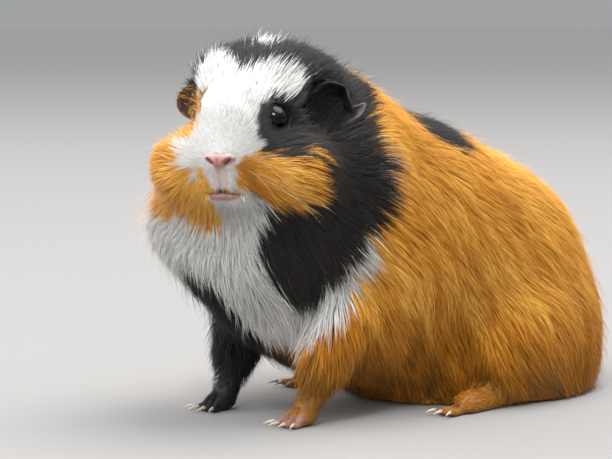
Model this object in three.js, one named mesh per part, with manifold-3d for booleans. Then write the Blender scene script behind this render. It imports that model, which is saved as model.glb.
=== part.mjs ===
// A life-size guinea pig, still: it sits with its belly and haunches on the ground, props its chest
// on straight forelegs and holds its head up, turned a little to its own left.
//
// Millimetres, +Z up. The animal faces -Y, so its left side is towards +X. The outline is that of the
// coat, out to the tips of the hair. Every soft part is a ball pushed out from its own core until it
// meets the outline of the whole animal, then trimmed where it meets its neighbour.
import * as THREE from "three";
import { mergeVertices } from "three/addons/utils/BufferGeometryUtils.js";
import Module from "manifold-3d";

const wasm = await Module();
wasm.setup();

const vec = (x, y, z) => new THREE.Vector3(x, y, z);
const degrees = THREE.MathUtils.degToRad;
const SIDES = ["left", "right"];

// ---- Driving dimensions ----------------------------------------------------------------------------

const JOINT_GAP = 0.3; // between two parts of the body
const TRIM_MARGIN = 14; // how far a part is made past the plane that trims it
const FINEST = 0.05; // nothing smaller is kept
const BODY_BLEND = 14; // how softly the forms of the trunk run into each other
const HEAD_BLEND = 8;
const NECK_BLEND = 9;

// The trunk, from rump to chest: each form is an egg with its middle and its three half-sizes.
const RUMP = { middle: vec(0, 71, 50), half: vec(55, 55, 54) };
const SEAT = { middle: vec(0, 76, 28), half: vec(58, 60, 42) };
const SKIRT = { middle: vec(0, 76, 9), half: vec(56, 58, 30) }; // the long hair that hangs to the ground
const BARREL = { middle: vec(0, 20, 65), half: vec(52, 72, 59) };
const SHOULDERS = { middle: vec(1, -12, 94), half: vec(43, 38, 48) };
const CHEST = { middle: vec(-1, -40, 62), half: vec(30, 28, 30) };
const RUFF = { middle: vec(-6, -50, 79), half: vec(48, 33, 28) };

// The head has a frame of its own, half-way between the ears: +X to its left, -Y forwards, +Z up.
const HEAD_PLACE = vec(2.7, -46.3, 127);
const HEAD_TURN = degrees(30); // to its own left
const NOSE_UP = degrees(2);
const CRANIUM = { middle: vec(1, 3, -3), half: vec(30, 30, 31.5) };
const TEMPLE = { middle: vec(17, 7, 10), half: vec(17.5, 16, 14) };
const BROW = { middle: vec(0, -24, -7), half: vec(17, 26, 18.5) };
const MUZZLE = { middle: vec(0, -36, -20), half: vec(15, 14, 13) };
const CHEEK = { middle: vec(22, -18, -27), half: vec(19, 23, 18) };
const CHIN = { middle: vec(0, -33, -33), half: vec(14, 14, 9) };

// The head is parted from the neck behind the ears and under the throat, both in the head's frame.
const NAPE = { through: vec(0, 14, 20), facing: vec(0, -0.92, 0.39) };
const THROAT = { through: vec(0, -40, -46), facing: vec(0, 0.05, 1) };
const SHOULDER = { through: vec(0, 2, 141), facing: vec(0, -0.83, 0.56) };

const EYE = { middle: vec(14.4, -26.3, -4.2), radius: 5.2 };
const SOCKET_GAP = 0.4;
const NOSE = { middle: vec(0.5, -49, -19), half: vec(5.6, 3.6, 3.8) }; // the bare pad
const JAW = { y: -37, radius: 13, lips_z: -33, deep: 30 }; // a round plug of the chin, under the lips

// An ear is a cupped petal, wide from top to bottom and long from root to edge. Its sides come
// forwards by the cup and its outer edge hangs by the droop.
const EAR = {
  root: vec(21, -7, 0),
  up: vec(0, -0.2, 0.98),
  out: vec(0.8, 0.6, 0),
  half_wide: 10,
  long: 23,
  thick: 1.6,
  cup: 4,
  droop: 3,
};
const EAR_HOLLOW = { middle: vec(33, -8, 0), half: vec(13, 10, 10) }; // in front of the ear

const FORELEG = {
  elbow: vec(29, -27, 46),
  wrist: vec(25.5, -40, 8),
  elbow_r: 15,
  wrist_r: 6.2,
};
const WRIST_Z = 11;
const FOREFOOT = {
  ankle: { from: vec(25.4, -40.3, 12), to: vec(25.1, -42.5, 5.6), from_r: 6.2, to_r: 5.3 },
  palm: { middle: vec(25, -45, 3.8), half: vec(5.9, 8, 4.2) },
  toes: { count: 4, long: 9, radius: 1.9, spread: degrees(60), from: vec(25, -44, 1.7) },
};
const HAUNCH = { middle: vec(42, 65, 29), half: vec(20.5, 34, 31) };
const HINDFOOT = {
  heel: vec(44, 62, 4.4),
  ball: vec(49, 24, 3.8),
  heel_r: 5,
  ball_r: 5.2,
  toes: { count: 3, long: 10, radius: 2.1, spread: degrees(40), from: vec(49, 23, 1.9) },
};
const CLAW = { long: 5, root_r: 1.1, droop: degrees(8) };

// ---- Forms: functions that are negative inside, and about the distance away outside ----------------

const egg =
  ({ middle, half }) =>
  (p) => {
    const x = (p.x - middle.x) / half.x;
    const y = (p.y - middle.y) / half.y;
    const z = (p.z - middle.z) / half.z;
    const reach = Math.hypot(x, y, z);
    const slope = Math.hypot(x / half.x, y / half.y, z / half.z);
    return slope > 0 ? (reach * (reach - 1)) / slope : -Math.min(half.x, half.y, half.z);
  };

const blend = (soft, ...forms) => {
  const melt = (a, b) => {
    const share = Math.max(soft - Math.abs(a - b), 0) / soft;
    return Math.min(a, b) - share * share * soft * 0.25;
  };
  return (p) => forms.map((form) => form(p)).reduce(melt);
};

const onBothSides = (form) => (p) => form(vec(Math.abs(p.x), p.y, p.z));

// A limb that tapers between two points.
const limb = (from, to, from_r, to_r) => (p) => {
  const along = to.clone().sub(from);
  const share = THREE.MathUtils.clamp(p.clone().sub(from).dot(along) / along.lengthSq(), 0, 1);
  const nearest = from.clone().addScaledVector(along, share);
  return p.distanceTo(nearest) - THREE.MathUtils.lerp(from_r, to_r, share);
};

// Only what lies less than TRIM_MARGIN behind a plane, or only what lies less than that ahead of it.
const aheadOf = (plane) => (p) => -TRIM_MARGIN - plane.distanceToPoint(p);
const behind = (plane) => (p) => plane.distanceToPoint(p) - TRIM_MARGIN;
const within = (...forms) => (p) => Math.max(...forms.map((form) => form(p)));

// ---- Solids ----------------------------------------------------------------------------------------

function solidOf(geometry) {
  const bare = geometry.clone();
  bare.deleteAttribute("normal");
  bare.deleteAttribute("uv");
  const merged = mergeVertices(bare, 1e-4);
  return new wasm.Manifold(
    new wasm.Mesh({
      numProp: 3,
      vertProperties: merged.attributes.position.array,
      triVerts: new Uint32Array(merged.index.array),
    }),
  );
}

function geometryOf(solid) {
  const { vertProperties, triVerts } = solid.getMesh();
  const geometry = new THREE.BufferGeometry();
  geometry.setAttribute("position", new THREE.BufferAttribute(new Float32Array(vertProperties), 3));
  geometry.setIndex(new THREE.BufferAttribute(new Uint32Array(triVerts), 1));
  geometry.computeVertexNormals();
  return geometry;
}

// How far out from start, along direction, a form ends. The start is inside it.
function reach(form, start, direction) {
  const step = 2;
  let out = 0;
  while (form(start.clone().addScaledVector(direction, out + step)) < 0) out += step;
  let low = out;
  let high = out + step;
  for (let halving = 0; halving < 14; halving++) {
    const middle = (low + high) / 2;
    if (form(start.clone().addScaledVector(direction, middle)) < 0) low = middle;
    else high = middle;
  }
  return low;
}

// A ball of points, each pushed out from the core line until it meets the form.
function pushedOut(form, core_from, core_to, detail) {
  const ball = new THREE.IcosahedronGeometry(1, detail);
  const along = core_to.clone().sub(core_from).normalize();
  const points = ball.attributes.position;
  for (let i = 0; i < points.count; i++) {
    const direction = vec().fromBufferAttribute(points, i);
    const start = core_from.clone().lerp(core_to, (direction.dot(along) + 1) / 2);
    points.setXYZ(i, ...start.addScaledVector(direction, reach(form, start, direction)));
  }
  return solidOf(ball);
}

// Trims a solid to one side of a plane, short of it by half the gap, or past it where side is -1.
const keepAhead = (solid, plane, side = 1) =>
  solid.trimByPlane(plane.normal.toArray(), (side * JOINT_GAP) / 2 - plane.constant);
const keepBehind = (solid, plane, side = 1) =>
  solid.trimByPlane(plane.normal.clone().negate().toArray(), (side * JOINT_GAP) / 2 + plane.constant);
const onGround = (solid) => solid.trimByPlane([0, 0, 1], 0);
const withoutCrumbs = (solid) => solid.decompose().reduce((a, b) => (a.volume() > b.volume() ? a : b));

// ---- The whole outline -----------------------------------------------------------------------------

const headFrame = new THREE.Matrix4().compose(
  HEAD_PLACE,
  new THREE.Quaternion().setFromEuler(new THREE.Euler(-NOSE_UP, 0, HEAD_TURN, "ZXY")),
  vec(1, 1, 1),
);
const intoHead = headFrame.clone().invert();
const inHead = (form) => (p) => form(p.clone().applyMatrix4(intoHead));
const headPoint = (x, y, z) => vec(x, y, z).applyMatrix4(headFrame);
const planeThrough = ({ through, facing }) =>
  new THREE.Plane().setFromNormalAndCoplanarPoint(facing.clone().normalize(), through);

const trunkForm = blend(BODY_BLEND, ...[RUMP, SEAT, SKIRT, BARREL, SHOULDERS, CHEST, RUFF].map(egg));
const headForm = inHead(
  blend(
    HEAD_BLEND,
    ...[CRANIUM, BROW, MUZZLE, CHIN].map(egg),
    ...[TEMPLE, CHEEK].map(egg).map(onBothSides),
  ),
);
const outline = blend(NECK_BLEND, trunkForm, headForm);

const napePlane = planeThrough(NAPE).applyMatrix4(headFrame);
const throatPlane = planeThrough(THROAT).applyMatrix4(headFrame);
const shoulderPlane = planeThrough(SHOULDER);

const trunkWhole = pushedOut(within(outline, behind(shoulderPlane)), vec(0, -24, 72), vec(0, 84, 50), 7);
const neckWhole = pushedOut(within(outline, aheadOf(shoulderPlane)), vec(-2, -42, 92), vec(6, -34, 124), 6);
const headWhole = pushedOut(
  within(outline, aheadOf(napePlane), aheadOf(throatPlane)),
  headPoint(0, -4, -8),
  headPoint(0, -34, -20),
  7,
);
const headBlock = solidOf(new THREE.BoxGeometry(400, 400, 400).applyMatrix4(headFrame));

// ---- Eyes, nose, jaw and ears ------------------------------------------------------------------------

const mirrored = new THREE.Matrix4().makeScale(-1, 1, 1);
const sideFrame = (side) => (side === "left" ? headFrame : headFrame.clone().multiply(mirrored));
const placed = (solid, frame) => solid.transform(frame.toArray());

const eyeball = (extra) =>
  solidOf(new THREE.SphereGeometry(EYE.radius + extra, 12, 6).translate(...EYE.middle));
const eggSolid = ({ middle, half }, extra, geometry) =>
  solidOf(geometry.scale(half.x + extra, half.y + extra, half.z + extra).translate(...middle));
const nosePad = (extra) => eggSolid(NOSE, extra, new THREE.SphereGeometry(1, 10, 6));
const earHollow = eggSolid(EAR_HOLLOW, 0, new THREE.IcosahedronGeometry(1, 2));
const jawPlug = (extra) =>
  solidOf(
    new THREE.CylinderGeometry(JAW.radius + extra, JAW.radius + extra, JAW.deep, 20)
      .rotateX(Math.PI / 2)
      .translate(0, JAW.y, JAW.lips_z + extra - JAW.deep / 2),
  );

function ear(extra) {
  const up = EAR.up.clone().normalize();
  const out = EAR.out.clone().addScaledVector(up, -EAR.out.dot(up)).normalize();
  const front = out.clone().cross(up);
  const petal = new THREE.SphereGeometry(1, 16, 8);
  const points = petal.attributes.position;
  for (let i = 0; i < points.count; i++) {
    const [across, through, along] = [points.getX(i), points.getY(i), points.getZ(i)];
    const share = (along + 1) / 2;
    const place = EAR.root
      .clone()
      .addScaledVector(up, across * (EAR.half_wide + extra) - EAR.droop * share * share)
      .addScaledVector(out, share * EAR.long + along * extra)
      .addScaledVector(front, through * (EAR.thick / 2 + extra) + EAR.cup * across * across * share);
    points.setXYZ(i, ...place);
  }
  return solidOf(petal);
}

// ---- Legs, feet and claws ----------------------------------------------------------------------------

const mirroredTo = (side, solid) => (side === "left" ? solid : solid.mirror([1, 0, 0]));

const foreleg = (extra) => {
  const form = limb(FORELEG.elbow, FORELEG.wrist, FORELEG.elbow_r + extra, FORELEG.wrist_r + extra);
  return pushedOut(form, FORELEG.elbow, FORELEG.wrist, 3).trimByPlane([0, 0, 1], WRIST_Z + JOINT_GAP / 2);
};
const haunch = (extra) => onGround(eggSolid(HAUNCH, extra, new THREE.IcosahedronGeometry(1, 3)));

// Toes lie on the ground, fanned out from the front of the foot.
const toePlaces = ({ count, spread, from }) =>
  Array.from({ length: count }, (_, i) => {
    const turn = (i / (count - 1) - 0.5) * spread;
    return new THREE.Matrix4().makeTranslation(from).multiply(new THREE.Matrix4().makeRotationZ(turn));
  });
const toe = ({ long, radius }, extra) =>
  solidOf(new THREE.CapsuleGeometry(radius + extra, long, 2, 5).translate(0, -long / 2, 0));
const toesOf = (toes, extra) => toePlaces(toes).map((place) => placed(toe(toes, extra), place));

const { ankle } = FOREFOOT;
const ankleForm = limb(ankle.from, ankle.to, ankle.from_r, ankle.to_r);
const wristWhole = pushedOut(ankleForm, ankle.from, ankle.to, 1);
const wrist = wristWhole.trimByPlane([0, 0, -1], JOINT_GAP / 2 - WRIST_Z);
const palm = eggSolid(FOREFOOT.palm, 0, new THREE.IcosahedronGeometry(1, 1));
const forefoot = onGround(wasm.Manifold.union([wrist, palm, ...toesOf(FOREFOOT.toes, 0)]));

const hindfoot = (extra) => {
  const { heel, ball, heel_r, ball_r, toes } = HINDFOOT;
  const sole = pushedOut(limb(heel, ball, heel_r + extra, ball_r + extra), heel, ball, 2);
  return onGround(wasm.Manifold.union([sole, ...toesOf(toes, extra)]));
};

// A claw is a slim cone that carries on from the end of its toe.
const claw = ({ long, radius }) =>
  solidOf(
    new THREE.ConeGeometry(CLAW.root_r, CLAW.long, 6)
      .rotateX(Math.PI + CLAW.droop)
      .translate(0, -long - radius - JOINT_GAP - CLAW.long / 2, 0),
  );
const clawsOf = (toes) => toePlaces(toes).map((place) => placed(claw(toes), place));

// ---- The parts ---------------------------------------------------------------------------------------

const parts = {
  trunk: onGround(keepBehind(trunkWhole, shoulderPlane)),
  neck: keepAhead(neckWhole, shoulderPlane).subtract(
    keepAhead(keepAhead(headBlock, napePlane, -1), throatPlane, -1),
  ),
  head: keepAhead(keepAhead(headWhole, napePlane), throatPlane),
};
parts.lower_jaw = parts.head.intersect(placed(jawPlug(0), headFrame));
parts.head = parts.head.subtract(placed(jawPlug(JOINT_GAP), headFrame));
parts.nose = placed(nosePad(0), headFrame);
parts.head = parts.head.subtract(placed(nosePad(JOINT_GAP), headFrame));
for (const side of SIDES) {
  const frame = sideFrame(side);
  const earSlot = placed(ear(JOINT_GAP), frame);
  parts[`eye_${side}`] = placed(eyeball(0), frame);
  parts[`ear_${side}`] = placed(ear(0), frame);
  parts.head = parts.head.subtract(placed(earHollow, frame)).subtract(earSlot);
  parts.head = parts.head.subtract(placed(eyeball(SOCKET_GAP), frame));
  parts.neck = parts.neck.subtract(earSlot);
  parts[`foreleg_${side}`] = mirroredTo(side, foreleg(0));
  parts[`forefoot_${side}`] = mirroredTo(side, forefoot);
  parts[`hindleg_${side}`] = mirroredTo(side, haunch(0).subtract(hindfoot(JOINT_GAP)));
  parts[`hindfoot_${side}`] = mirroredTo(side, hindfoot(0));
  clawsOf(FOREFOOT.toes).forEach((claw, i) => {
    parts[`fore_claw_${side}_${i + 1}`] = mirroredTo(side, claw);
  });
  clawsOf(HINDFOOT.toes).forEach((claw, i) => {
    parts[`hind_claw_${side}_${i + 1}`] = mirroredTo(side, claw);
  });
  for (const socket of [foreleg(JOINT_GAP), haunch(JOINT_GAP), hindfoot(JOINT_GAP)]) {
    parts.trunk = parts.trunk.subtract(mirroredTo(side, socket));
  }
}

// ---- The scene graph -------------------------------------------------------------------------------

// What each part is covered with: colour and roughness.
const LOOKS = {
  orange: ["#c8812b", 0.85],
  white: ["#e6e4df", 0.85],
  black: ["#1f1c1b", 0.8],
  pink: ["#d99c9c", 0.5],
  dark_eye: ["#120c0a", 0.05],
  horn: ["#8a7868", 0.45],
};
const COLOURS = [
  [/^(head|neck)$/, "white"],
  [/^lower_jaw$/, "white"],
  [/^nose$/, "pink"],
  [/^eye_/, "dark_eye"],
  [/^ear_|^fore(leg|foot)_right$/, "black"],
  [/_claw_/, "horn"],
  [/./, "orange"],
];

const animal = new THREE.Group();
animal.name = "guinea_pig";
for (const [name, whole] of Object.entries(parts)) {
  const solid = withoutCrumbs(whole.simplify(FINEST));
  const [, look] = COLOURS.find(([pattern]) => pattern.test(name));
  const [color, roughness] = LOOKS[look];
  const material = new THREE.MeshStandardMaterial({ name: look, color, roughness, metalness: 0 });
  const mesh = new THREE.Mesh(geometryOf(solid), material);
  mesh.name = name;
  animal.add(mesh);
}

// The origin is on the ground, under the middle of the whole animal.
const extent = new THREE.Box3().setFromObject(animal);
const middle = extent.getCenter(vec());
animal.position.set(-middle.x, -middle.y, -extent.min.z);

export default animal;
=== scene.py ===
"""A life-size still model of a guinea pig, sitting up on its forelegs with its head turned to its left."""

import math

import bpy
import numpy as np
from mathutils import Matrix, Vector
from mathutils.bvhtree import BVHTree
from mathutils.kdtree import KDTree


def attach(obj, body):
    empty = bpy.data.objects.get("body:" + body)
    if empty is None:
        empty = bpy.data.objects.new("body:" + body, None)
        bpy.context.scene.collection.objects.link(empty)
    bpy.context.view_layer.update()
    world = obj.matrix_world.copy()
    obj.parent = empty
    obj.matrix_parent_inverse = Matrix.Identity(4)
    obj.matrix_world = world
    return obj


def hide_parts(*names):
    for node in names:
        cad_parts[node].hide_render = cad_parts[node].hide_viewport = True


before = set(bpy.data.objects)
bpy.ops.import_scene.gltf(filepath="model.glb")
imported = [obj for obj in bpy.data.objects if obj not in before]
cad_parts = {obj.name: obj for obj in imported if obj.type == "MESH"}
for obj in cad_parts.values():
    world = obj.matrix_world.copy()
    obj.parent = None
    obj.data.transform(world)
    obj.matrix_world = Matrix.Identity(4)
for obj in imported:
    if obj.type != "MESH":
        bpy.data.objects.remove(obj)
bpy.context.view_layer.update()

# ---- Skin ------------------------------------------------------------------------------------------
# One hide over trunk, neck, head, legs and feet, drawn on a carved body and glued down. It lies inside
# the outline of the coat by the depth of the hair. It is tanned skin with a short dense undercoat, its
# orange darker than the hair's, partly as the undercoat's colour and partly as painted shade between the
# tufts.
MM = 0.001
HIDE_GRAIN = 1.27 * MM  # size of the faces of the hide
FLESH_SWELL = 0.35  # millimetres that each solid grows, so that neighbours fuse
HIDE_FOOT = 0.1  # height of the lowest points of the hide
HEAD_PLACE = np.array([2.7, -66.963, 127.0])
HEAD_TURN = math.radians(30)
NOSE_UP = math.radians(2)
HEAD_LEFT = np.array([math.cos(HEAD_TURN), math.sin(HEAD_TURN), 0.0])
LEVEL_AHEAD = np.array([math.sin(HEAD_TURN), -math.cos(HEAD_TURN), 0.0])
HEAD_AHEAD = LEVEL_AHEAD * math.cos(NOSE_UP) + np.array([0, 0, math.sin(NOSE_UP)])
HEAD_TOP = np.cross(HEAD_LEFT, -HEAD_AHEAD)
HEAD_AXES = np.array([HEAD_LEFT, -HEAD_AHEAD, HEAD_TOP])
EYE_MIDDLES = np.array([[14.4, -26.3, -4.6], [-13.4, -25.0, -4.6]])  # left and right
EYE_R = 5.2
EYE_LOOKS = np.array([0.83, -0.55, -0.10])  # out of the left side of the head
LID_OPEN = math.radians(41)
NOSE_MIDDLE = np.array([0.5, -49.0, -20.2])
LIMBS = ("foreleg", "forefoot", "hindleg", "hindfoot")
FLESH = ["trunk", "neck", "head", "lower_jaw", "nose"]
FLESH += [f"{limb}_{side}" for limb in LIMBS for side in ("left", "right")]


def on_head(points):
    """Row-frame millimetres to the head's own frame: +X its left, -Y ahead, +Z up."""
    return (points - HEAD_PLACE) @ HEAD_AXES.T


def off_head(points):
    return points @ HEAD_AXES + HEAD_PLACE


def unit(vectors):
    return vectors / np.maximum(np.linalg.norm(vectors, axis=-1, keepdims=True), 1e-9)


def ramp(value, low, high):
    """0 below low, 1 above high, and smooth between."""
    share = np.clip((value - low) / (high - low), 0, 1)
    return share * share * (3 - 2 * share)


def egg(points, middle, half):
    """About how far, in millimetres, each point lies inside an egg."""
    reach = np.linalg.norm((points - np.array(middle)) / np.array(half), axis=-1)
    return (1 - reach) * min(half)


def off_line(points, start, end):
    """How far each point lies from a straight line between two points."""
    start, end = np.array(start, float), np.array(end, float)
    along = end - start
    share = np.clip((points - start) @ along / (along @ along), 0, 1)
    return np.linalg.norm(points - start - share[:, None] * along, axis=1)


def waves(points, long, seed, count=7):
    """A smooth random value from about -1 to 1, with waves of about this length in millimetres."""
    dice = np.random.default_rng(seed)
    total = np.zeros(len(points))
    for _ in range(count):
        way = dice.normal(size=3)
        way *= 2 * math.pi / (long * dice.uniform(0.7, 1.5) * np.linalg.norm(way))
        total += np.sin(points @ way + dice.uniform(0, 2 * math.pi))
    return total / math.sqrt(count)


def on_hind_feet(points):
    """1 on the hind feet and 0 away from them."""
    mirrored = np.abs(points[:, :1]), points[:, 1:]
    return ramp(egg(np.hstack(mirrored), (48, 12, 4), (9, 30, 7)), -1, 1)


def coat_depth(points):
    """How far the hide lies below the tips of the coat, in millimetres."""
    head = on_head(points)
    depth = 4.0 + 2.2 * ramp(-points[:, 1], 20, 45)
    ahead = ramp(-head[:, 1], -2, 42)
    high = ramp(head[:, 2], -22, 4)
    on_face = ramp(egg(head, (0, -12, -10), (44, 46, 44)), -6, 6)
    face = (5.5 - 3.4 * ahead) * (1 - high) + (4.5 - 3.2 * ahead) * high
    depth = depth * (1 - on_face) + face * on_face
    from_nose = np.linalg.norm(head - NOSE_MIDDLE, axis=1)
    depth = depth * ramp(from_nose, 4, 26) + 0.7 * (1 - ramp(from_nose, 4, 26))
    legs = ramp(-points[:, 2], -46, -16) * ramp(-points[:, 1], 28, 42)
    depth = depth * (1 - legs) + 2.4 * legs
    low = ramp(-points[:, 2], -13, -8) * ramp(-points[:, 1], 46, 52)
    depth = depth * (1 - low) + 0.5 * low
    hind = on_hind_feet(points)
    depth = depth * (1 - hind) + 0.8 * hind
    ground = ramp(points[:, 2], 0.2, 5)
    return depth * (0.25 + 0.75 * ground)


def places(mesh):
    table = np.empty(len(mesh.vertices) * 3)
    mesh.vertices.foreach_get("co", table)
    return table.reshape(-1, 3) / MM


def put_places(mesh, points):
    mesh.vertices.foreach_set("co", (points * MM).ravel())
    mesh.update()


def normals(mesh):
    table = np.empty(len(mesh.vertices) * 3, np.float32)
    mesh.vertex_normals.foreach_get("vector", table)
    return table.reshape(-1, 3).astype(float)


def only(piece):
    bpy.ops.object.select_all(action="DESELECT")
    piece.select_set(True)
    bpy.context.view_layer.objects.active = piece


def in_scene(name, data):
    """A new object of this data, added to the scene."""
    made = bpy.data.objects.new(name, data)
    bpy.context.scene.collection.objects.link(made)
    return made


def sphere(name, segments, rings, radius):
    """Blender's sphere, with its faces in one fixed order, as Blender's own order changes each run."""
    bpy.ops.object.select_all(action="DESELECT")
    bpy.ops.mesh.primitive_uv_sphere_add(segments=segments, ring_count=rings, radius=radius)
    made = bpy.context.view_layer.objects.active
    made.name = name
    drawn, spots = made.data, made.data.uv_layers[0].data
    faces = []
    for face in drawn.polygons:
        corners = [(drawn.loops[i].vertex_index, tuple(spots[i].uv)) for i in face.loop_indices]
        first = corners.index(min(corners))
        faces.append(corners[first:] + corners[:first])
    faces.sort()
    made.data = bpy.data.meshes.new(name)
    points = [tuple(point.co) for point in drawn.vertices]
    made.data.from_pydata(points, [], [[corner for corner, _ in face] for face in faces])
    layer = made.data.uv_layers.new(name="UVMap")
    layer.data.foreach_set("uv", [along for face in faces for _, spot in face for along in spot])
    bpy.ops.object.shade_smooth()
    return made


def weld(piece, reach):
    """Merges doubled points and turns all faces outwards."""
    only(piece)
    bpy.ops.object.mode_set(mode="EDIT")
    bpy.ops.mesh.select_all(action="SELECT")
    bpy.ops.mesh.remove_doubles(threshold=reach)
    bpy.ops.mesh.normals_make_consistent(inside=False)
    bpy.ops.object.mode_set(mode="OBJECT")


def unwrap(piece):
    only(piece)
    bpy.ops.object.mode_set(mode="EDIT")
    bpy.ops.mesh.select_all(action="SELECT")
    bpy.ops.uv.smart_project(angle_limit=math.radians(66), island_margin=0.002)
    bpy.ops.object.mode_set(mode="OBJECT")


def nearby_faces(piece, test):
    """Selects the faces whose middles pass a test, in edit mode, for the operator that follows."""
    only(piece)
    bpy.ops.object.mode_set(mode="EDIT")
    bpy.ops.mesh.select_mode(type="FACE")
    bpy.ops.mesh.select_all(action="DESELECT")
    bpy.ops.object.mode_set(mode="OBJECT")
    middles = np.empty(len(piece.data.polygons) * 3)
    piece.data.polygons.foreach_get("center", middles)
    piece.data.polygons.foreach_set("select", test(middles.reshape(-1, 3) / MM))
    bpy.ops.object.mode_set(mode="EDIT")


bpy.ops.object.select_all(action="DESELECT")
copies = []
for flesh in FLESH:
    copy = in_scene(f"flesh_{flesh}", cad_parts[flesh].data.copy())
    copy.matrix_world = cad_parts[flesh].matrix_world.copy()
    weld(copy, 0.001 * MM)
    put_places(copy.data, places(copy.data) + normals(copy.data) * FLESH_SWELL)
    copies.append(copy)
for copy in copies:
    copy.select_set(True)
bpy.context.view_layer.objects.active = copies[0]
bpy.ops.object.join()
skin = bpy.context.view_layer.objects.active
skin.name = "skin"
skin.data.name = "skin"
skin.data.materials.clear()
skin.data.remesh_voxel_size = HIDE_GRAIN
only(skin)
bpy.ops.object.voxel_remesh()


def relaxed(mesh, points, amount, rounds):
    """Evens out a surface: each point moves towards the middle of its neighbours."""
    edges = np.empty(len(mesh.edges) * 2, np.int32)
    mesh.edges.foreach_get("vertices", edges)
    first, second = edges.reshape(-1, 2).T
    count = np.bincount(edges, minlength=len(points))[:, None]
    for _ in range(rounds):
        total = np.zeros_like(points)
        for axis in range(3):
            total[:, axis] = np.bincount(first, points[second, axis], len(points))
            total[:, axis] += np.bincount(second, points[first, axis], len(points))
        points = points + (total / count - points) * amount
    return points


outline = places(skin.data)
evenness = 0.12 + 0.48 * ramp(outline[:, 2], 7, 18)[:, None]
outline = relaxed(skin.data, outline, evenness, 10)
put_places(skin.data, outline)

skin_normals = normals(skin.data)
sunk = outline - skin_normals * coat_depth(outline)[:, None]
sunk = relaxed(skin.data, sunk, evenness, 5)
sunk[:, 2] = np.maximum(sunk[:, 2], HIDE_FOOT)
put_places(skin.data, sunk)

# The lids, the lips and the toes need finer faces than the rest of the hide.
eyes_off_head = off_head(EYE_MIDDLES)
looks_off_head = [unit(EYE_LOOKS * np.array([side, 1, 1])) @ HEAD_AXES for side in (1, -1)]
FORE_PALM, HIND_PALM = np.array([25.0, -64.0]), np.array([48.8, 3.0])


def claw_ends(number, side, foot):
    """The middle of the root of a claw, and its point."""
    corners = places(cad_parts[f"{foot}_claw_{side}_{number}"].data)
    far = np.linalg.norm(corners - corners.mean(axis=0), axis=1)
    point = corners[far.argmax()]
    from_point = np.linalg.norm(corners - point, axis=1)
    return corners[from_point > 0.7 * from_point.max()].mean(axis=0), point


furrows = []
for foot, toe_count, palm in (("fore", 4, FORE_PALM), ("hind", 3, HIND_PALM)):
    for side, sign in (("left", 1), ("right", -1)):
        toe_tips = [claw_ends(number, side, foot)[0][:2] for number in range(1, toe_count + 1)]
        for first, second in zip(toe_tips[:-1], toe_tips[1:]):
            between = (first + second) / 2
            furrows.append((between - [0, 2.0], between + (palm * [sign, 1] - between) * 0.6))


def from_furrow(points):
    """How far each point lies, seen from above, from the nearest furrow between two toes."""
    return np.min([off_line(points[:, :2], *furrow) for furrow in furrows], axis=0) + 9 * (points[:, 2] > 8)


def finer_places(points):
    eyes = [np.linalg.norm(points - middle, axis=1) < 9 for middle in eyes_off_head]
    mouth = np.linalg.norm((on_head(points) - [0, -44, -27]) / [11, 14, 12], axis=1) < 1
    return eyes[0] | eyes[1] | mouth | (from_furrow(points) < 1.5)


nearby_faces(skin, finer_places)
bpy.ops.mesh.subdivide(number_cuts=2, smoothness=0.4)
bpy.ops.object.mode_set(mode="OBJECT")


def shape_face(points):
    """Pulls the hide over the eyeballs into lids, and folds in the lips and the cleft under the nose."""
    for middle, looks in zip(eyes_off_head, looks_off_head):
        away = points - middle
        far = np.linalg.norm(away, axis=1)
        upright = unit(HEAD_TOP - looks * (HEAD_TOP @ looks))
        side_on, tall = np.cross(upright, looks), 1.42
        seen = unit(away)
        off_axis = np.hypot(seen @ side_on, tall * (seen @ upright))
        off_axis = np.where(seen @ looks > 0, np.arcsin(np.clip(off_axis, 0, 1)), math.pi / 2)
        near = far < 12
        lid = EYE_R + 0.8
        wall = EYE_R - 1.6
        open_now = 1 - ramp(off_axis, LID_OPEN - 0.10, LID_OPEN + 0.02)
        hold = (1 - ramp(off_axis, LID_OPEN + 0.25, LID_OPEN + 1.0)) * near
        wanted = lid * (1 - open_now) + wall * open_now
        new_far = far * (1 - hold) + wanted * hold
        points = np.where(near[:, None], middle + unit(away) * new_far[:, None], points)
    head = on_head(points)
    under_pad = np.linalg.norm((head - NOSE_MIDDLE)[:, [0, 2]] / [4.6, 2.0], axis=1)
    head[:, 1] += 2.6 * (1 - ramp(under_pad, 0.7, 1.15)) * (head[:, 1] < -40)
    lips = np.exp(-(((head[:, 2] + 32.9) / 0.9) ** 2)) * (1 - ramp(np.abs(head[:, 0] - 0.3), 5.5, 8.5))
    cleft = np.exp(-(((head[:, 0] - 0.4) / 0.8) ** 2)) * (1 - ramp(np.abs(head[:, 2] + 27.5), 4, 6))
    ahead = ramp(-head[:, 1], 36, 42)
    head[:, 1] += (3.0 * lips + 0.8 * cleft) * ahead
    return off_head(head)


def part_toes(points):
    """Presses a furrow into the hide between each two toes."""
    press = 1.5 * np.exp(-((from_furrow(points) / 0.75) ** 2))
    points[:, 2] -= press * ramp(points[:, 2], 0.4, 2.4)
    points[:, 1] += 0.9 * press
    return points


put_places(skin.data, part_toes(shape_face(places(skin.data))))
unwrap(skin)
skin.data.uv_layers[0].name = "OFBake"
bpy.ops.object.shade_smooth()

ORANGE, BLACK, WHITE = 0, 1, 2


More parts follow.
